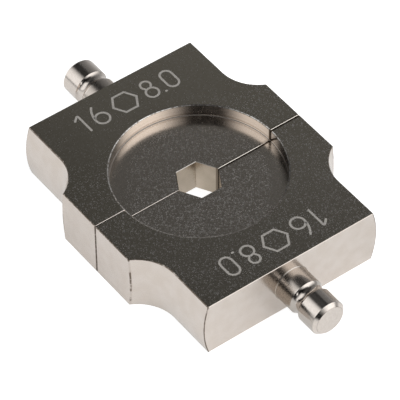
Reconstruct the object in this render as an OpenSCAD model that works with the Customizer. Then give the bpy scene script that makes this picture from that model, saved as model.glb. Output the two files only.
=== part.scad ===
// Hexagon crimping die: two equal half dies that close on a cable lug, each with a grooved
// retaining stud. Each half is turned about its stud axis (end face, neck and scallops) and then
// milled (flat sides, flat top and bottom, recess, half hexagon).
// Millimetres. X runs along the parting line, Y along the studs and Z up; the origin is the centre
// of the hexagon on the underside. The halves stand a small gap apart, as laid on a table.

/* [Die block] */
// Width across the two flat sides
block_w = 48; // [42:0.5:49]
// Thickness between the milled faces
block_t = 12.6; // [11:0.1:14]
// Length of one half, from its parting face to its end face
block_l = 28.5; // [28:0.1:32]
// Diameter of the turned neck behind the end face
neck_d = 40.4; // [38:0.2:42]
// Radius of the turned scallop between the neck and the flat side
scallop_r = 8.7; // [8:0.1:12]
// Distance from the parting face to the plane where the scallop runs into the neck
scallop_l = 18; // [17:0.05:22]

/* [Recess and hexagon] */
// Diameter of the round recess milled in both faces
recess_d = 34; // [30:0.5:35]
// Depth of the recess
recess_depth = 2.7; // [2:0.1:3]
// Radius at the foot of the recess wall
recess_foot_r = 0.15; // [0.1:0.05:0.5]
// Width across the flats of the closed hexagon
hexagon_af = 8; // [6:0.5:10]

/* [Retaining stud] */
// Diameter of the stud
stud_d = 7.5; // [6.5:0.1:8]
// Length of the stud in front of the end face
stud_l = 11.5; // [11:0.1:14]
// Length of the shank pressed into the block
shank_l = 8.6; // [7:0.1:8.8]
// Distance from the end face to the middle of the retaining groove
groove_l = 5.6; // [5:0.1:7]
// Width of the groove at the stud's surface
groove_w = 2.4; // [2:0.1:3.4]
// Depth of the groove
groove_depth = 0.5; // [0.3:0.05:0.8]
// Chamfer at the tip
tip_chamfer = 0.7; // [0.3:0.1:1]
// Width and height of the bevelled collar at the stud's root, as wide as the bore's chamfered mouth
collar = 0.15; // [0.1:0.05:0.3]

/* [Broken edges] */
// Chamfer on the outer edges of the block
edge = 0.1; // [0.1:0.05:0.3]
// Chamfer along the parting face
parting_edge = 0.06; // [0.05:0.01:0.3]
// Chamfer at the mouths of the hexagon
mouth_edge = 0.1; // [0.05:0.01:0.2]
// Width of the shallow bevel around the recess's rim
rim_edge_w = 0.28; // [0.1:0.01:0.3]
// Depth of that bevel
rim_edge_h = 0.1; // [0.05:0.01:0.2]

/* [Pair] */
// Gap between the two parting faces at rest
gap = 0.15; // [0.1:0.05:1]

/* [Hidden] */
$fn = 96;
steel = [0.74, 0.72, 0.69];
bright_steel = [0.82, 0.81, 0.79];
// Air that a cutter takes beyond the surface it cuts
over = 1;
mid = block_t / 2;
half_w = block_w / 2;
neck_r = neck_d / 2;
recess_r = recess_d / 2;
stud_r = stud_d / 2;
shank_chamfer = 0.5;
// Room left behind the shank, so that the stud seats before it bottoms
bore_l = shank_l + 0.4;
corner_r = norm([half_w, mid]);
blank_r = corner_r + over;
// The neck's edge in the top plane, and where the scallop leaves the flat side there
neck_edge_x = sqrt(neck_r * neck_r - mid * mid);
corner_l = scallop_l - sqrt(pow(scallop_r, 2) - pow(neck_r + scallop_r - corner_r, 2));
// The arc that the scallop's edge follows in the top plane, tangent to the neck's edge
flare_w = half_w - neck_edge_x;
flare_l = scallop_l - corner_l;
edge_arc_r = (flare_w * flare_w + flare_l * flare_l) / (2 * flare_w);
groove_r = (pow(groove_w / 2, 2) + pow(groove_depth, 2)) / (2 * groove_depth);

// Rectangle from the origin to [w, h], with chamfer a at its low X corners and b at its high X corners
module chamfered_rectangle(w, h, a, b) {
    polygon([[a, 0], [w - b, 0], [w, b], [w, h - b], [w - b, h], [a, h], [0, h - a], [0, a]]);
}

// Bar of square section that stands on its corner and breaks an edge along X by leg c
module edge_bar(l, c) {
    rotate([45, 0, 0])
        cube([l, c * sqrt(2), c * sqrt(2)], center = true);
}

// Stands a profile drawn in radius and length from the parting face on the stud axis
module turned() {
    translate([0, 0, mid])
        rotate([-90, 0, 0])
            rotate_extrude()
                children();
}

// Both milled faces at once
module both_faces() {
    for (side = [0, 1])
        translate([0, 0, mid])
            mirror([0, 0, side])
                translate([0, 0, mid])
                    children();
}

module turned_blank() {
    turned()
        difference() {
            square([blank_r, block_l]);
            translate([neck_r + scallop_r, scallop_l])
                circle(r = scallop_r);
            translate([neck_r, scallop_l])
                square([scallop_r, block_l]);
            translate([neck_r, block_l])
                rotate(45)
                    square(edge * sqrt(2), center = true);
        }
}

// What the milling cutter leaves: flat sides, flat faces, parting face and end face
module milled_envelope() {
    intersection() {
        translate([-half_w, 0, 0])
            rotate([90, 0, 0])
                translate([0, 0, -block_l])
                    linear_extrude(block_l)
                        chamfered_rectangle(block_w, block_t, edge, edge);
        translate([-half_w, 0, 0])
            rotate([90, 0, 90])
                linear_extrude(block_w)
                    chamfered_rectangle(block_l, block_t, parting_edge, edge);
        linear_extrude(block_t)
            translate([half_w, 0])
                rotate(90)
                    chamfered_rectangle(block_l + over, block_w, parting_edge, parting_edge);
    }
}

// Breaks the edge between a milled face and the turned neck and scallop
module flank_edges() {
    both_faces()
        for (side = [0, 1])
            mirror([side, 0, 0]) {
                translate([neck_edge_x, (scallop_l + block_l) / 2, 0])
                    rotate(90)
                        edge_bar(block_l - scallop_l + 2 * over, edge);
                translate([neck_edge_x + edge_arc_r, scallop_l, -edge])
                    cylinder(h = 2 * edge, r1 = edge_arc_r, r2 = edge_arc_r + 2 * edge);
            }
}

module recess() {
    translate([0, 0, -recess_depth])
        rotate_extrude() {
            square([recess_r - recess_foot_r, recess_depth + over]);
            translate([0, recess_foot_r])
                square([recess_r, recess_depth + over]);
            translate([recess_r - recess_foot_r, recess_foot_r])
                circle(r = recess_foot_r, $fn = 32);
        }
    translate([0, 0, -rim_edge_h])
        cylinder(h = 2 * rim_edge_h, r1 = recess_r, r2 = recess_r + 2 * rim_edge_w);
}

// Breaks the edges where the parting face meets the recess floor and wall
module recess_parting_edges() {
    translate([0, 0, -recess_depth])
        edge_bar(recess_d, parting_edge);
    for (side = [-1, 1])
        translate([side * recess_r, 0, 0])
            rotate([0, 90, 0])
                edge_bar(2 * recess_depth, parting_edge);
}

// Two opposite walls of the hexagon, as a prism that widens at 45 degrees from just inside each mouth
module hexagon_walls() {
    a = hexagon_af / 2;
    flare = recess_depth + mouth_edge + over;
    rotate([90, 0, 90])
        linear_extrude(recess_d, center = true)
            polygon([
                [a, flare - over], [a, block_t + over - flare], [a + flare, block_t + over],
                [-a - flare, block_t + over], [-a, block_t + over - flare], [-a, flare - over],
                [-a - flare, -over], [a + flare, -over]
            ]);
}

// The half hexagon, with its corners on the parting face and broken edges at both mouths
module hexagon_cavity() {
    intersection() {
        rotate(-60)
            hexagon_walls();
        hexagon_walls();
        rotate(60)
            hexagon_walls();
    }
}

module stud_bore() {
    turned() {
        translate([0, block_l - bore_l])
            square([stud_r, bore_l + over]);
        translate([stud_r, block_l])
            rotate(45)
                square(collar * sqrt(2), center = true);
    }
}

// One half, with its parting face on Y = 0 and its stud pointing along +Y
module die_block() {
    color(steel)
        difference() {
            intersection() {
                turned_blank();
                milled_envelope();
            }
            flank_edges();
            both_faces()
                recess();
            both_faces()
                recess_parting_edges();
            hexagon_cavity();
            stud_bore();
        }
}

module retaining_stud() {
    color(bright_steel)
        turned()
            translate([0, block_l])
                difference() {
                    union() {
                        translate([0, -shank_l])
                            square([stud_r, shank_l + stud_l]);
                        polygon([[0, 0], [stud_r + collar, 0], [stud_r, collar]]);
                    }
                    translate([stud_r, -shank_l])
                        rotate(45)
                            square(shank_chamfer * sqrt(2), center = true);
                    translate([stud_r + groove_r - groove_depth, groove_l])
                        circle(r = groove_r);
                    translate([stud_r, stud_l])
                        rotate(45)
                            square(tip_chamfer * sqrt(2), center = true);
                }
}

module fixed_half() {
    rotate(180)
        translate([0, gap / 2, 0])
            children();
}

module moving_half() {
    translate([0, gap / 2, 0])
        children();
}

module fixed_die_block() {
    fixed_half()
        die_block();
}

module fixed_retaining_stud() {
    fixed_half()
        retaining_stud();
}

module moving_die_block() {
    moving_half()
        die_block();
}

module moving_retaining_stud() {
    moving_half()
        retaining_stud();
}

fixed_die_block();
fixed_retaining_stud();
moving_die_block();
moving_retaining_stud();
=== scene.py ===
"""Looks of the hexagon crimping die: satin nickel blocks, bright studs and the engraved size marks.

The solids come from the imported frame; this script gives them their materials, adds the engraving
and sets the camera, the floor and the studio around them. Sizes of the part are in millimetres,
the camera, lamp and table are placed in metres, and angles are in degrees.
"""

import math

import bmesh
import bpy
from mathutils import Matrix, Vector


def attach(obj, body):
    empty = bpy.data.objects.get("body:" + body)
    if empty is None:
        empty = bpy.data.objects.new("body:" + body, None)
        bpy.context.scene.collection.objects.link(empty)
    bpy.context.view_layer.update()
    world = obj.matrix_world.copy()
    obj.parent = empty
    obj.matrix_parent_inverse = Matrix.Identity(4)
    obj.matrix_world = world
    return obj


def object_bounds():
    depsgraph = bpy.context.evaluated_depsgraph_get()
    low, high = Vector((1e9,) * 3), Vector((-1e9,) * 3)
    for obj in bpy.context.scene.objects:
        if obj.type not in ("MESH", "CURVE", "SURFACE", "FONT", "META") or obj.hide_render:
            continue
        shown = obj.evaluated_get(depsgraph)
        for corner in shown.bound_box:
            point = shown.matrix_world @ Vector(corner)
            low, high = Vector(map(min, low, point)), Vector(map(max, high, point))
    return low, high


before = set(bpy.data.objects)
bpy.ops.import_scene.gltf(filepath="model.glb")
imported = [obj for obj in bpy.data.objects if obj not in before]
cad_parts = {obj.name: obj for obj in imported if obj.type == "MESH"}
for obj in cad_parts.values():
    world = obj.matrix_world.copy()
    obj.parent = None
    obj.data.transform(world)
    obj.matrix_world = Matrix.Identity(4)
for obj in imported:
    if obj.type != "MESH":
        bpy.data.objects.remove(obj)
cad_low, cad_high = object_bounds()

MM = 0.001

# The halves in the frame: thickness, flat sides, end faces, recess, hexagon and turned scallops
block_t = cad_high[2] / MM
side_x = cad_high[0] / MM
mid_z = block_t / 2
half_gap = 0.075
block_l = 28.5
end_face_y = half_gap + block_l
recess_r = 17.0
recess_depth = 2.7
rim_edge_w = 0.28
rim_edge_h = 0.1
beyond_hexagon_r = 5.0
neck_r = 20.2
scallop_r = 8.7
scallop_l = 18.0
scallop_centre_r = neck_r + scallop_r
scallop_centre_y = half_gap + scallop_l

# The studs: tip, chamfer and groove, measured from the end face
tip_y = cad_high[1] / MM
stud_r = 3.75
tip_chamfer = 0.7
tip_r = stud_r - tip_chamfer
chamfer_y = tip_y - tip_chamfer
groove_l = 5.6
groove_w = 2.4
groove_y = end_face_y + groove_l - groove_w / 2

# Depth of the grain and marks that the light sees on each metal
block_bump_mm = 0.0016
stud_bump_mm = 0.0008
stroke_bump_mm = 0.01

# Camera, fitted to the edges and corners in the photograph
camera_at = Vector((-0.24352, -0.33124, 0.44826))
camera_target = Vector((-0.00036, -0.00080, 0.00512))
camera_roll = -0.573
camera_lens = 286.05

# Lamp over the table, aimed at the part
lamp_at = Vector((0.0, -0.5, 1.1))
lamp_d = 0.9
lamp_watts = 6.4

# Table: half its side, how far it lies below the part's underside, its glow for the camera, and
# the one for mirror rays, which fades between two distances from the part
table_half = 2.5
table_drop = 1e-5
camera_glow = 0.85
mirror_glow = 0.47
mirror_glow_near = 0.05
mirror_glow_far = 0.16


def rgb(red, green, blue):
    return (red, green, blue, 1.0)


# Colours of the metal; a pair holds the darker and the lighter tone of a mottled surface
turned_pair = rgb(0.66, 0.594, 0.536), rgb(0.70, 0.64, 0.59)
milled_side_pair = rgb(0.63, 0.562, 0.505), rgb(0.665, 0.603, 0.553)
# top faces: milled tone, set darker than the sides partly as painted shade of their dark reflection
top_tone_and_shade_pair = rgb(0.56, 0.51, 0.417), rgb(0.62, 0.57, 0.47)
floor_pair = rgb(0.66, 0.597, 0.52), rgb(0.72, 0.655, 0.57)
wall_pair = rgb(0.69, 0.62, 0.578), rgb(0.76, 0.69, 0.65)
# hexagon walls: tan oxide of the cut, darkened further as painted shade in the hole
hexagon_oxide_and_shade_pair = rgb(0.52, 0.45, 0.36), rgb(0.58, 0.5, 0.41)
stud_pair = rgb(0.66, 0.60, 0.55), rgb(0.72, 0.665, 0.615)
stroke_pair = rgb(0.55, 0.52, 0.48), rgb(0.78, 0.75, 0.71)
# painted shade on the studs' flanks
flank_shade_pair = rgb(0.4, 0.37, 0.34), rgb(0.35, 0.3, 0.25)
# painted sheen on the faces towards the front, and painted shade at their back left
front_sheen_colour = rgb(0.8, 0.74, 0.65)
back_left_shade_colour = rgb(0.37, 0.335, 0.265)
# near-white colour of grain specks, painted as glints
grain_glint_colour = rgb(0.97, 0.93, 0.89)
# painted shade on the hexagon's mouth bevel, dimming its reflection
mouth_bevel_shade_colour = rgb(0.45, 0.42, 0.39)
# painted highlight on the parting bevel
parting_highlight_colour = rgb(0.88, 0.82, 0.74)
# a dark line round the recess wall
wall_line_colour = rgb(0.2, 0.13, 0.08)
# painted shade on the recess floor by the wall
floor_shade_colour = rgb(0.12, 0.11, 0.1)
# painted shade at the foot of the recess wall
foot_shade_colour = rgb(0.36, 0.33, 0.3)
# rim colours: painted highlights, painted shade in their gaps and at the right
rim_gap_shade_colour = rgb(0.26, 0.23, 0.2)
rim_highlight_colour = rgb(0.82, 0.8, 0.77)
rim_right_shade_colour = rgb(0.3, 0.28, 0.26)
# dark colour of the edge lines and of the painted shade along the parting gap
gap_shade_and_edge_colour = rgb(0.10, 0.07, 0.045)
# painted shade on a stud near the block, up to its groove
root_shade_colour = rgb(0.38, 0.34, 0.3)
tip_line_colour = rgb(0.25, 0.19, 0.15)
table_colour = rgb(0.6, 0.6, 0.6)


class Graph:
    """Builds a node tree; an input takes a socket or a plain value."""

    def __init__(self, tree):
        self.tree = tree
        tree.nodes.clear()

    def add(self, kind, settings=None, inputs=None):
        node = self.tree.nodes.new("ShaderNode" + kind)
        for key, value in (settings or {}).items():
            setattr(node, key, value)
        for key, value in (inputs or {}).items():
            self.feed(node.inputs[key], value)
        return node

    def feed(self, socket, value):
        if isinstance(value, bpy.types.NodeSocket):
            self.tree.links.new(value, socket)
        else:
            socket.default_value = value

    def finish(self, kind, result):
        """Ends the tree in an output node for a surface of this kind, Material or World."""
        self.add("Output" + kind, inputs={"Surface": result.outputs[0]})

    def math(self, operation, *values):
        node = self.add("Math", {"operation": operation})
        for socket, value in zip(node.inputs, values):
            self.feed(socket, value)
        return node.outputs[0]

    def vector(self, operation, *values):
        node = self.add("VectorMath", {"operation": operation})
        for socket, value in zip(node.inputs, values):
            self.feed(socket, value)
        return node.outputs["Value" if operation in ("DOT_PRODUCT", "LENGTH") else "Vector"]

    def step(self, value, low, high, out_low=0.0, out_high=1.0):
        """Smooth step from out_low to out_high as value goes from low to high."""
        limits = {"From Min": low, "From Max": high, "To Min": out_low, "To Max": out_high}
        node = self.add(
            "MapRange", {"interpolation_type": "SMOOTHSTEP"}, {"Value": value, **limits}
        )
        return node.outputs[0]

    def above(self, value, low, high):
        return self.step(value, low, high)

    def below(self, value, low, high):
        return self.step(value, low, high, 1.0, 0.0)

    def near(self, value, place, inner, outer):
        """1 within inner of a place, fading to 0 at outer from it."""
        return self.below(self.size(self.minus(value, place)), inner, outer)

    def size(self, value):
        return self.math("ABSOLUTE", value)

    def plus(self, a, b):
        return self.math("ADD", a, b)

    def minus(self, a, b):
        return self.math("SUBTRACT", a, b)

    def times(self, *values):
        product = values[0]
        for value in values[1:]:
            product = self.math("MULTIPLY", product, value)
        return product

    def most(self, *values):
        largest = values[0]
        for value in values[1:]:
            largest = self.math("MAXIMUM", largest, value)
        return largest

    def join(self, a, b):
        return self.add("CombineXYZ", inputs={0: a, 1: b}).outputs[0]

    def length(self, a, b):
        return self.vector("LENGTH", self.join(a, b))

    def mix(self, factor, a, b):
        """Mix of two colours, or of two numbers where a is a number or a float socket."""
        colour = isinstance(a, tuple) or getattr(a, "type", "VALUE") != "VALUE"
        node = self.add("Mix", {"data_type": "RGBA" if colour else "FLOAT"})
        first = 6 if colour else 2
        self.feed(node.inputs[0], factor)
        self.feed(node.inputs[first], a)
        self.feed(node.inputs[first + 1], b)
        return node.outputs[2 if colour else 0]

    def noise(self, vector, scale, detail=2.0, roughness=0.5):
        node = self.add(
            "TexNoise",
            inputs={"Vector": vector, "Scale": scale, "Detail": detail, "Roughness": roughness},
        )
        return node.outputs["Fac"]

    def cells(self, vector, scale):
        """Three random numbers for each cell of a Voronoi pattern."""
        node = self.add("TexVoronoi", {"feature": "F1"}, {"Vector": vector, "Scale": scale})
        return self.add("SeparateColor", inputs={"Color": node.outputs["Color"]}).outputs


def new_material(name):
    material = bpy.data.materials.new(name)
    material.use_nodes = True
    return material, Graph(material.node_tree)


def part_space(graph):
    """Position on the part in millimetres, its components, and the size of the normal's Z part."""
    coordinates = graph.add("TexCoord")
    in_metres = coordinates.outputs["Object"]
    place = graph.add("VectorMath", {"operation": "SCALE"}, {0: in_metres, "Scale": 1 / MM})
    position = place.outputs["Vector"]
    xyz = graph.add("SeparateXYZ", inputs={0: position}).outputs
    normal = graph.add("SeparateXYZ", inputs={0: coordinates.outputs["Normal"]}).outputs
    return position, xyz, graph.size(normal["Z"])


def lines_across(graph, value, scale, detail, roughness):
    """Noise that changes only with one value: feed marks, rings and streaks."""
    return graph.noise(graph.join(value, graph.times(value, 0.31)), scale, detail, roughness)


def finish_metal(graph, colour, roughness, height, bump_mm, metallic=1.0):
    """Metal whose bump has the given height pattern, bump_mm deep."""
    bump = graph.add("Bump", inputs={"Strength": 1.0, "Distance": bump_mm * MM, "Height": height})
    shader = graph.add(
        "BsdfPrincipled",
        inputs={
            "Base Color": colour,
            "Metallic": metallic,
            "Roughness": roughness,
            "Normal": bump.outputs[0],
        },
    )
    graph.finish("Material", shader)


class BlockPlaces:
    """Where a point lies on a block: distances in millimetres, and masks from 0 to 1.

    A mask fades between the two values that follow what it looks at; those for a surface leave a
    little room on both sides of it.
    """

    def __init__(self, g):
        self.position, (self.x, self.y, self.z), self.upright = part_space(g)
        self.across = g.size(self.x)
        self.along = g.size(self.y)
        self.radius = g.length(self.x, self.y)
        self.off_axis = g.length(self.x, g.minus(self.z, mid_z))
        self.from_mid = g.size(g.minus(self.z, mid_z))
        self.above_floor = g.minus(self.from_mid, mid_z - recess_depth)
        self.flat = g.above(self.upright, 0.95, 0.99)
        self.side = g.minus(1.0, self.flat)
        self.floor = g.times(self.flat, g.below(self.above_floor, 0.8, 1.6))
        self.wall = g.times(self.side, g.near(self.radius, recess_r, 0.3, 0.6))
        in_middle = g.below(self.radius, beyond_hexagon_r, beyond_hexagon_r + 0.6)
        self.hexagon = g.times(self.side, in_middle)
        self.flat_side = g.above(self.across, side_x - 0.4, side_x - 0.2)
        self.rim = self.rim_bevel(g)
        self.foot = self.wall_foot(g)

    def rim_bevel(self, g):
        """The shallow bevel around the recess's rim."""
        half_w = rim_edge_w / 2
        rim_foot = mid_z - rim_edge_h
        ring = g.near(self.radius, recess_r + half_w, half_w, half_w + 0.02)
        return g.times(ring, g.above(self.from_mid, rim_foot - 0.03, rim_foot - 0.01))

    def wall_foot(self, g):
        """The small radius at the foot of the recess wall."""
        inside = g.above(self.radius, recess_r - 0.12, recess_r - 0.1)
        outside = g.below(self.radius, recess_r + 0.05, recess_r + 0.1)
        return g.times(inside, g.below(self.above_floor, 0.1, 0.12), outside)


def calm_floor(g, at):
    """The recess floor beside the far wall, which mirrors it: it carries fewer painted glints."""
    far_side = g.most(g.above(at.y, 1.0, 7.0), g.above(at.x, 5.0, 9.0))
    return g.times(at.floor, g.above(at.radius, 13.4, 14.2), far_side)


def grain_glints(g, at, calm):
    """Painted glints: specks of grain coloured near white where the plate catches light.

    Cells are a quarter of a millimetre wide, denser in the recess and weaker towards the back. A cell
    glints where its first random number is above the limit, and the second one gives its strength.
    """
    patches = g.noise(at.position, 0.16, 2.0)
    top_limit = g.step(patches, 0.3, 0.75, 0.83, 0.74)
    floor_limit = g.step(patches, 0.3, 0.75, 0.72, 0.63)
    number = g.cells(at.position, 5.8)
    picked = g.math("GREATER_THAN", number[0], g.mix(at.floor, top_limit, floor_limit))
    top_strength = g.step(at.y, 8.0, 17.0, 1.35, 0.55)
    floor_strength = g.step(at.y, -6.0, 6.0, 1.25, 0.95)
    strength = g.mix(at.floor, top_strength, floor_strength)
    calming = g.step(calm, 0.0, 1.0, 1.0, 0.3)
    return g.times(picked, number[1], g.mix(at.flat, 0.03, 1.0), calming, strength)


def face_colour(g, at, mottle):
    """Milled faces, recess floor: painted sheen to the front, painted shade at the back left."""
    # the top faces' tone holds painted shade as well as their milled colour
    colour = g.mix(at.floor, g.mix(mottle, *top_tone_and_shade_pair), g.mix(mottle, *floor_pair))
    # painted sheen towards the front
    front_sheen = g.below(at.y, -16.0, 4.0)
    colour = g.mix(g.times(front_sheen, 0.29), colour, front_sheen_colour)
    # painted shade at the back left of the top faces
    back_left_shade = g.times(g.above(at.y, 0.0, 12.0), g.below(at.x, -18.0, -6.0))
    back_left_shade = g.times(back_left_shade, g.minus(1.0, at.floor))
    return g.mix(g.times(back_left_shade, 0.25), colour, back_left_shade_colour)


def plain_colour(g, at, mottle):
    """The metal's colour by surface, with painted sheen and shade, before glints, dark edges and gap
    shade.
    """
    cloud = g.step(g.noise(at.position, 0.35, 3.0), 0.3, 0.7)
    streaks = g.step(lines_across(g, at.z, 3.0, 2.0, 0.6), 0.35, 0.65)
    sides = g.mix(at.flat_side, g.mix(cloud, *turned_pair), g.mix(cloud, *milled_side_pair))
    colour = g.mix(at.flat, sides, face_colour(g, at, mottle))
    colour = g.mix(at.wall, colour, g.mix(streaks, *wall_pair))
    # a dark line round the recess wall, half a millimetre above its floor
    wall_line = g.times(at.wall, g.near(at.above_floor, 0.5, 0.05, 0.22))
    colour = g.mix(g.times(wall_line, 0.5), colour, wall_line_colour)
    # painted shade on the hexagon's mouth bevel
    mouth_bevel = g.above(at.upright, 0.4, 0.6)
    # hexagon walls: oxide tan, darkened as painted shade in the hole
    hexagon = g.mix(mouth_bevel, g.mix(cloud, *hexagon_oxide_and_shade_pair), mouth_bevel_shade_colour)
    return g.mix(at.hexagon, colour, hexagon)


def recess_lines(g, at, colour):
    """Adds the rim's broken painted highlights, painted shade at the wall's foot and on the floor by
    it.
    """
    # painted rim highlights, broken by painted shade and shaded at the right
    broken = g.step(g.noise(at.position, 1.6, 2.0, 0.7), 0.35, 0.6)
    rim_right_shade = g.times(g.above(at.x, 9.0, 13.0), g.below(at.y, -4.0, 1.0), g.above(at.y, -12.0, -9.0))
    rim_highlights = g.mix(g.times(rim_right_shade, 0.55), rim_highlight_colour, rim_right_shade_colour)
    rim = g.mix(broken, rim_gap_shade_colour, rim_highlights)
    # painted shade on the recess floor by the wall, at the right
    low_right = g.times(g.above(at.x, 10.5, 14.0), g.below(at.y, -6.0, -1.0))
    floor_shade = g.times(at.floor, g.above(at.radius, 15.2, 16.6), low_right)
    colour = g.mix(g.times(floor_shade, 0.6), colour, floor_shade_colour)
    # the wall's foot is rougher and painted darker as shade in the corner; at the right it takes the
    # floor's painted shade
    foot = g.mix(low_right, foot_shade_colour, floor_shade_colour)
    return g.mix(g.most(at.rim, at.foot), colour, g.mix(at.foot, rim, foot))


def scallop_edge(g, z):
    """Distance from the parting line where the turned scallop leaves the flat side, at height z."""
    radius = g.length(g.minus(z, mid_z), side_x)
    inside = g.math("POWER", g.minus(scallop_centre_r, radius), 2.0)
    return g.minus(scallop_centre_y, g.math("SQRT", g.minus(scallop_r ** 2, inside)))


def dark_edge_lines(g, at):
    """Darker, rougher metal in broken lines along the edges of the sides."""
    ragged = g.step(g.noise(at.position, 1.3, 3.0, 0.7), 0.3, 0.5, 0.15, 0.9)
    off_end_face = g.below(at.along, end_face_y - 0.12, end_face_y - 0.06)
    off_ends = g.times(off_end_face, g.above(at.along, 0.2, 0.4))
    top_edge = g.above(at.from_mid, mid_z - 0.24, mid_z - 0.08)
    top_edge = g.times(top_edge, g.above(at.radius, 18.0, 18.4), off_ends)
    kept = g.step(g.noise(at.position, 0.5, 2.0), 0.5, 0.6, 0.1, 1.0)
    scallop_corner = g.near(at.along, scallop_edge(g, at.z), 0.1, 0.22)
    scallop_corner = g.times(at.flat_side, scallop_corner, kept)
    parting_corner = g.times(at.flat_side, g.below(at.along, 0.2, 0.34))
    neck_corner = g.above(at.off_axis, neck_r - 0.22, neck_r - 0.14)
    neck_corner = g.times(neck_corner, g.near(at.along, end_face_y, 0.1, 0.22))
    edges = g.most(top_edge, scallop_corner, parting_corner, neck_corner)
    return g.times(edges, ragged, at.side)


def parting_gap_shade(g, at):
    """Painted shade of the parting gap, towards +X: on the faces, the recess wall and the hexagon."""
    to_right = g.above(at.x, -4.0, 9.0)
    on_fixed = g.math("LESS_THAN", at.y, 0.0)
    on_moving_face = g.times(g.below(at.along, 0.2, 0.8), 0.35)
    face_gap_shade = g.mix(on_fixed, on_moving_face, g.below(at.along, 0.2, 0.55))
    face_gap_shade = g.times(at.flat, face_gap_shade)
    wall_gap_shade = g.times(at.wall, g.below(at.along, 0.34, 0.5))
    hexagon_gap_shade = g.times(at.hexagon, g.below(at.along, 0.35, 0.6))
    return g.times(g.most(face_gap_shade, wall_gap_shade, hexagon_gap_shade), to_right)


def parting_bevel_highlight(g, at):
    """A painted highlight on the bevel along the parting faces, towards +X."""
    bevel = g.times(g.above(at.upright, 0.4, 0.6), g.below(at.upright, 0.8, 0.9))
    return g.times(bevel, g.below(at.along, 0.15, 0.2), g.above(at.x, 2.0, 6.0))


def block_roughness(g, at, mottle, grain_glint, dark_edges):
    """Satin faces, smoother sides, a bright recess wall; glints, dark edges, rim and foot are duller.
    """
    milled = g.mix(at.floor, g.mix(mottle, 0.17, 0.22), g.mix(mottle, 0.19, 0.23))
    milled = g.plus(milled, g.times(grain_glint, g.mix(at.floor, 0.12, 0.23)))
    roughness = g.mix(at.flat, g.mix(at.wall, 0.2, 0.08), milled)
    roughness = g.plus(roughness, g.times(dark_edges, 0.2))
    return g.mix(g.most(at.rim, at.foot), roughness, g.mix(at.foot, 0.3, 0.45))


def block_height(g, at):
    """Grain, feed marks, and the rounding of the rim's bevel.

    The marks run round the hexagon on the recess floor, round its wall and along the turned profile.
    """
    grain_depth = g.mix(at.flat, g.mix(at.wall, 0.35, 0.05), 0.6)
    grain = g.times(g.noise(at.position, 5.5, 3.0, 0.6), grain_depth)
    feed = g.mix(at.wall, g.mix(at.flat, g.plus(at.along, at.off_axis), at.radius), at.z)
    mark_depth = g.mix(at.flat, g.mix(at.wall, 0.5, 0.15), g.times(at.floor, 0.15))
    marks = g.times(lines_across(g, feed, 2.6, 3.0, 0.7), mark_depth)
    rounding = g.step(at.radius, recess_r + 0.08, recess_r + rim_edge_w, 0.0, 27.0)
    return g.plus(g.plus(grain, marks), rounding)


def block_material():
    """Satin nickel: milled faces with painted glints, smooth turned sides, painted rim highlights, dark
    edges.
    """
    material, g = new_material("satin_nickel")
    at = BlockPlaces(g)
    calm = calm_floor(g, at)
    mottle = g.mix(calm, g.step(g.noise(at.position, 3.4, 1.0), 0.3, 0.7), 0.5)
    grain_glint = grain_glints(g, at, calm)
    dark_edges = dark_edge_lines(g, at)
    # painted glints: grain specks coloured near white
    colour = g.mix(grain_glint, plain_colour(g, at, mottle), grain_glint_colour)
    colour = recess_lines(g, at, colour)
    # painted shade along the parting gap, and the dark edge lines
    colour = g.mix(g.most(dark_edges, parting_gap_shade(g, at)), colour, gap_shade_and_edge_colour)
    # painted highlight on the parting bevel
    colour = g.mix(parting_bevel_highlight(g, at), colour, parting_highlight_colour)
    roughness = block_roughness(g, at, mottle, grain_glint, dark_edges)
    finish_metal(g, colour, roughness, block_height(g, at), block_bump_mm)
    return material


def stud_material():
    """Bright nickel on fine-turned steel: faint rings along the stud.

    Up to the groove a stud is painted darker, as shade near the block. Its right flank carries painted
    shade, and so does the left one on the front stud, while the back stud is hazier on its right half.
    """
    material, g = new_material("bright_nickel")
    position, (x, y, z), _ = part_space(g)
    along = g.size(y)
    off_axis = g.length(x, g.minus(z, mid_z))
    rings = lines_across(g, g.plus(along, off_axis), 3.2, 3.0, 0.75)
    blotches = g.noise(position, 2.2, 4.0, 0.7)
    colour = g.mix(g.step(blotches, 0.35, 0.7), *stud_pair)
    # painted shade: up to the groove the stud is darker near the block
    root_shade = g.below(along, groove_y - 0.5, groove_y + 0.2)
    colour = g.mix(g.times(root_shade, 0.45), colour, root_shade_colour)
    on_front = g.math("LESS_THAN", y, 0.0)
    # painted shade on the flanks, which mirror the shaded table
    flank = g.most(g.above(x, 1.7, 2.3), g.times(on_front, g.below(x, -3.2, -2.6)))
    flank_shade = g.times(flank, g.below(along, chamfer_y, chamfer_y + 0.2))
    flank_shade = g.times(flank_shade, g.mix(root_shade, 0.7, 0.9))
    colour = g.mix(flank_shade, colour, g.mix(root_shade, *flank_shade_pair))
    at_tip = g.above(along, tip_y - 0.06, tip_y - 0.03)
    tip_line = g.times(at_tip, g.near(off_axis, tip_r, 0.03, 0.09))
    tip_line = g.times(tip_line, g.step(blotches, 0.4, 0.6, 0.1, 0.7))
    colour = g.mix(tip_line, colour, tip_line_colour)
    roughness = g.plus(g.step(blotches, 0.3, 0.75, 0.13, 0.2), g.times(root_shade, 0.1))
    hazy = g.times(g.minus(1.0, on_front), g.above(x, -1.0, 0.5))
    roughness = g.plus(roughness, g.times(hazy, 0.14))
    height = g.plus(rings, g.times(blotches, 0.4))
    finish_metal(g, colour, roughness, height, stud_bump_mm)
    return material


def engraving_material():
    """Floor of the engraved strokes: frosted, cut through the satin skin."""
    material, g = new_material("engraved_nickel")
    cut = g.noise(part_space(g)[0], 4.5, 3.0, 0.7)
    colour = g.mix(g.step(cut, 0.3, 0.7), *stroke_pair)
    roughness = g.step(cut, 0.3, 0.7, 0.75, 0.55)
    finish_metal(g, colour, roughness, cut, stroke_bump_mm, metallic=0.65)
    return material


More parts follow.
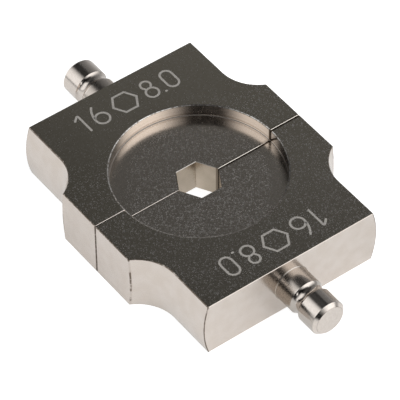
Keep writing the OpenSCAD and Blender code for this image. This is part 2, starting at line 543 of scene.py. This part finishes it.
def set_material(obj, material):
    obj.data.materials.clear()
    obj.data.materials.append(material)


def arc(centre, radius, start, end, steps):
    """Points on an arc, angles in degrees counterclockwise from +X."""
    points = []
    for i in range(steps + 1):
        a = math.radians(start + (end - start) * i / steps)
        points.append((centre[0] + radius * math.cos(a), centre[1] + radius * math.sin(a)))
    return points


# The size mark: plain numbers and a hexagon, tops towards the stud, in millimetres from its middle.
# Its strokes are thin plates whose faces stand plate_top above the block's. A stroke's open end
# runs on by cap_reach of its half width and narrows by cap_taper on each side.
mark_y = 22.9
digit_h = 4.7
stroke_w = 0.45
plate_top = 0.004
plate_t = 0.02
cap_reach = 0.6
cap_taper = 0.22
mitre_limit = 0.6


def digit_one(x):
    h = digit_h / 2
    return [([(x - 1.25, h - 0.95)] + arc((x - 0.2, h - 0.2), 0.2, 140, 0, 6) + [(x, -h)], False)]


def digit_six(x):
    r = 1.45
    tail_r = 4.3 + r
    low = -digit_h / 2 + r
    tail = arc((x + 4.3, low), tail_r, 141, 176, 8)
    return [(tail + arc((x, low), r, 180, 510, 24), False)]


def digit_eight(x):
    h = digit_h / 2
    low_r = 1.3
    high_r = 1.06
    high = h - high_r
    return [
        (arc((x, -h + low_r), low_r, 0, 360, 24), True),
        (arc((x, high), high_r, -52, 232, 18), False),
    ]


def digit_nought(x):
    h = digit_h / 2
    r = 1.25
    top = arc((x, h - r), r, 0, 180, 12)
    bottom = arc((x, r - h), r, 180, 360, 12)
    return [(top + bottom + [(x + r, h - r)], True)]


def point(x):
    r = 0.16
    return [([(x - r, -digit_h / 2), (x + r, -digit_h / 2)], False)]


def hexagon(x):
    corner_r = digit_h / 2 / math.cos(math.radians(30))
    return [(arc((x, 0), corner_r, 0, 360, 6), True)]


def mark_strokes():
    """Paths of the size mark, each with whether it is closed; the numbers give each glyph's place."""
    return (
        digit_one(-10.1) + digit_six(-6.5) + hexagon(-0.6)
        + digit_eight(5.2) + point(7.6) + digit_nought(10.0)
    )


def stroke_sides(path, closed):
    """The points to the right and left of each point of a path, mitred at its corners."""
    points = [Vector(p) for p in (path[:-1] if closed else path)]
    count = len(points)
    half = stroke_w / 2
    rows = []
    for i, p in enumerate(points):
        into = points[i - 1] if closed or i else None
        onward = points[(i + 1) % count] if closed or i < count - 1 else None
        d0 = (p - into).normalized() if into is not None else (onward - p).normalized()
        d1 = (onward - p).normalized() if onward is not None else d0
        n0 = Vector((-d0.y, d0.x))
        n1 = Vector((-d1.y, d1.x))
        side = (n0 + n1).normalized()
        side *= half / max(side.dot(n0), mitre_limit)
        rows.append((p - side, p + side))
    if closed:
        return rows
    for end, neighbour in ((0, 1), (count - 1, count - 2)):
        out = (points[end] - points[neighbour]).normalized() * half * cap_reach
        right, left = rows[end if end == 0 else -1]
        cap = (right.lerp(left, cap_taper) + out, left.lerp(right, cap_taper) + out)
        rows = [cap] + rows if end == 0 else rows + [cap]
    return rows


def add_stroke(mesh, path, closed, place):
    """A thin closed plate along a path, its top at place's height."""
    rows = []
    for right, left in stroke_sides(path, closed):
        rows.append([mesh.verts.new(place(q, z)) for q in (right, left) for z in (0.0, -plate_t)])
    count = len(rows)
    for i in range(count if closed else count - 1):
        right, right_low, left, left_low = rows[i]
        next_right, next_right_low, next_left, next_left_low = rows[(i + 1) % count]
        mesh.faces.new((right, next_right, next_left, left))
        mesh.faces.new((left_low, next_left_low, next_right_low, right_low))
        mesh.faces.new((right_low, next_right_low, next_right, right))
        mesh.faces.new((next_left_low, left_low, left, next_left))
    if not closed:
        right, right_low, left, left_low = rows[0]
        mesh.faces.new((left_low, right_low, right, left))
        right, right_low, left, left_low = rows[-1]
        mesh.faces.new((right_low, left_low, left, right))


def engraved_mark(name, body, turn, material):
    """Strokes of the size mark on one half's upper face, as thin plates set into it."""
    rotation = Matrix.Rotation(math.radians(turn), 3, "Z")
    middle = Vector((0, mark_y, block_t + plate_top))

    def place(q, z):
        return rotation @ (middle + Vector((q.x, q.y, z))) * MM

    mesh = bmesh.new()
    for path, closed in mark_strokes():
        add_stroke(mesh, path, closed, place)
    data = bpy.data.meshes.new(name)
    mesh.to_mesh(data)
    mesh.free()
    mark = bpy.data.objects.new(name, data)
    bpy.context.scene.collection.objects.link(mark)
    set_material(mark, material)
    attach(mark, body)


def add_camera():
    camera = bpy.data.objects.new("camera", bpy.data.cameras.new("camera"))
    bpy.context.scene.collection.objects.link(camera)
    camera.data.sensor_width = 36
    camera.data.lens = camera_lens
    camera.data.clip_start = 0.01
    camera.data.clip_end = 10
    aim = (camera_target - camera_at).to_track_quat("-Z", "Y")
    roll = Matrix.Rotation(math.radians(camera_roll), 4, "Z")
    camera.matrix_world = Matrix.Translation(camera_at) @ aim.to_matrix().to_4x4() @ roll
    bpy.context.scene.camera = camera


def add_floor():
    """White table: a glow for mirror rays near the part, and more for the camera, on its lit colour."""
    mesh = bpy.data.meshes.new("table")
    corners = [(-1, -1), (1, -1), (1, 1), (-1, 1)]
    mesh.from_pydata([(x * table_half, y * table_half, 0) for x, y in corners], [], [(0, 1, 2, 3)])
    table = bpy.data.objects.new("table", mesh)
    table.location.z = -table_drop
    bpy.context.scene.collection.objects.link(table)
    material, g = new_material("white_table")
    lit = g.add("BsdfDiffuse", inputs={"Color": table_colour})
    ray = g.add("LightPath").outputs
    distance = g.vector("LENGTH", g.add("TexCoord").outputs["Object"])
    mirrored = g.most(ray["Is Glossy Ray"], ray["Is Transmission Ray"])
    mirrored = g.times(mirrored, g.step(distance, mirror_glow_near, mirror_glow_far, 1.0, 0.1))
    shown = g.most(g.times(ray["Is Camera Ray"], camera_glow), g.times(mirrored, mirror_glow))
    glow = g.add("Emission", inputs={"Strength": shown})
    g.finish("Material", g.add("AddShader", inputs={0: lit.outputs[0], 1: glow.outputs[0]}))
    set_material(table, material)


# Brightness of the studio's ceiling, by elevation as a share of the way from horizon to zenith
ceiling_levels = (
    (0.0, 0.62), (0.11, 0.42), (0.22, 0.33), (0.33, 0.24), (0.43, 0.22),
    (0.505, 0.205), (0.527, 0.045), (0.6, 0.05), (0.64, 0.08), (1.0, 0.08),
)

# Azimuths of the ceiling's two darker parts: behind the camera, and beyond the far right corner
behind_azimuth = 222
beyond_azimuth = 94

# Panels of light: level, azimuth of the centre, how far to its sides it is full and where it ends,
# and the elevations between which its lower and its upper edge fade
panels = (
    (1.5, 153, 12, 53, (-5, 8), (53, 63)),
    (1.9, 308, 12, 68, (2, 18), (57, 71)),
    (2.2, 218, 6, 16, (22, 28), (30, 36)),
    (0.26, 25, 10, 34, (-5, 8), (42, 54)),
)


def towards(graph, horizontal, azimuth):
    """Cosine of the angle between a horizontal direction and an azimuth."""
    a = math.radians(azimuth)
    return graph.vector("DOT_PRODUCT", horizontal, (math.cos(a), math.sin(a), 0.0))


def panel(graph, horizontal, elevation, centre, full, none, bottom, top):
    """A soft-edged panel of light in the world: 1 on it and 0 beyond."""
    across = graph.math("ARCCOSINE", towards(graph, horizontal, centre))
    shape = graph.below(across, math.radians(full), math.radians(none))
    low = graph.above(elevation, *map(math.radians, bottom))
    high = graph.below(elevation, *map(math.radians, top))
    return graph.times(shape, graph.times(low, high))


def ceiling(graph, elevation):
    """Brightness of the ceiling at an elevation, in straight lines between its levels."""
    ramp = graph.add("ValToRGB", inputs={0: graph.math("DIVIDE", elevation, math.radians(90))})
    ramp.color_ramp.interpolation = "LINEAR"
    elements = ramp.color_ramp.elements
    while len(elements) < len(ceiling_levels):
        elements.new(0.5)
    for element, (place, level) in zip(elements, ceiling_levels):
        element.position = place
        element.color = rgb(level, level, level)
    return graph.add("SeparateColor", inputs={"Color": ramp.outputs["Color"]}).outputs[0]


def add_studio():
    """World: a dark ceiling over a pale horizon, darker behind the camera and at the far right.

    Panels of light stand left, right and in front; the camera itself sees plain white.
    """
    world = bpy.data.worlds.new("studio")
    bpy.context.scene.world = world
    world.use_nodes = True
    g = Graph(world.node_tree)
    x, y, z = g.add("SeparateXYZ", inputs={0: g.add("TexCoord").outputs["Generated"]}).outputs
    horizontal = g.vector("NORMALIZE", g.join(x, y))
    elevation = g.math("ARCSINE", z)
    behind_camera = g.step(towards(g, horizontal, behind_azimuth), 0.55, 0.95, 1.0, 0.06)
    glow = g.times(ceiling(g, elevation), behind_camera)
    beyond = g.step(towards(g, horizontal, beyond_azimuth), 0.78, 0.96, 0.0, 0.75)
    beyond = g.times(beyond, g.below(elevation, math.radians(49), math.radians(55)))
    glow = g.times(glow, g.minus(1.0, beyond))
    for level, *shape in panels:
        glow = g.most(glow, g.times(panel(g, horizontal, elevation, *shape), level))
    ray = g.add("LightPath").outputs
    seen = g.most(ray["Is Camera Ray"], ray["Is Transmission Ray"])
    g.finish("World", g.add("Background", inputs={"Strength": g.mix(seen, glow, 1.0)}))


def add_lamp():
    """Wide soft lamp overhead that lights the table; the metal mirrors the panels instead."""
    lamp = bpy.data.objects.new("overhead_lamp", bpy.data.lights.new("overhead_lamp", "AREA"))
    bpy.context.scene.collection.objects.link(lamp)
    lamp.data.shape = "DISK"
    lamp.data.size = lamp_d
    lamp.location = lamp_at
    lamp.rotation_euler = lamp_at.to_track_quat("Z", "Y").to_euler()
    lamp.data.energy = lamp_watts
    lamp.visible_glossy = False


add_camera()
add_studio()
add_lamp()
add_floor()

satin = block_material()
bright = stud_material()
frosted = engraving_material()
for half in ("fixed", "moving"):
    set_material(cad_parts[half + "_die_block"], satin)
    set_material(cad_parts[half + "_retaining_stud"], bright)
engraved_mark("moving_size_mark", "moving_half", 0, frosted)
engraved_mark("fixed_size_mark", "fixed_half", 180, frosted)

bpy.context.scene.view_settings.view_transform = "Standard"
